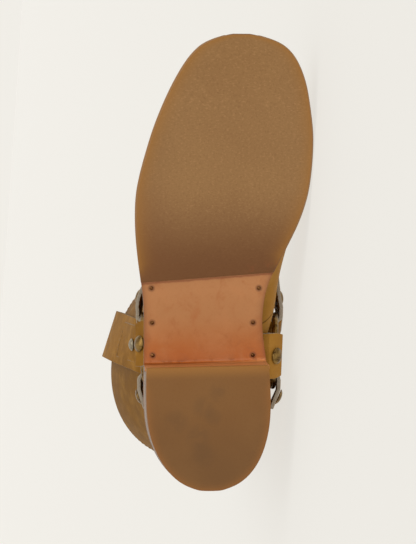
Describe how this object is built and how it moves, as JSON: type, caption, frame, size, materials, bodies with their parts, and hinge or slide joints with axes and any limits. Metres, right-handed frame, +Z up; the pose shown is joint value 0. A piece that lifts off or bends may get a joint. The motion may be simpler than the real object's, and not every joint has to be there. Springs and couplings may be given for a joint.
{
  "type": "harness boot",
  "caption": "Harness boot for the right foot, lying on its inner side: hollow leather upper, leather sole with rubber forefoot, stacked heel, rings and straps, pull loops.",
  "frame": {"origin": "on the floor, under the middle of the lying boot's bounding box", "axes": "+X along the foot from heel to toe, -Y out of the sole, +Z up towards the boot's outer side"},
  "size_m": [0.307, 0.2636, 0.1175],
  "materials": {
    "tan_leather": "waxed, worn",
    "veg_leather": "glossy vegetable-tanned",
    "lining_leather": "bare",
    "heel_leather": "stacked edges, waxed",
    "gum_rubber": "smooth, matt",
    "heel_rubber": "smooth, worn",
    "brass": "antique"
  },
  "bodies": {
    "root": {"heel_stack": "heel_leather", "heel_strap": "tan_leather", "heel_top_lift": "heel_rubber", "insole": "lining_leather", "instep_strap": "tan_leather", "leather_sole": "veg_leather", "pull_strap_lateral": "tan_leather", "pull_strap_medial": "tan_leather", "ring_lateral": "brass", "ring_medial": "brass", "rivet_heel_lateral": "brass", "rivet_heel_medial": "brass", "rivet_instep_lateral": "brass", "rivet_instep_medial": "brass", "rivet_pull_lateral": "brass", "rivet_pull_medial": "brass", "rivet_sole_lateral": "brass", "rivet_sole_medial": "brass", "rubber_forefoot": "gum_rubber", "shank_nail_lateral_1": "brass", "shank_nail_lateral_2": "brass", "shank_nail_lateral_3": "brass", "shank_nail_medial_1": "brass", "shank_nail_medial_2": "brass", "shank_nail_medial_3": "brass", "sole_strap_lateral": "tan_leather", "sole_strap_medial": "tan_leather", "upper": "tan_leather", "welt": "veg_leather"}
  },
  "joints": []
}
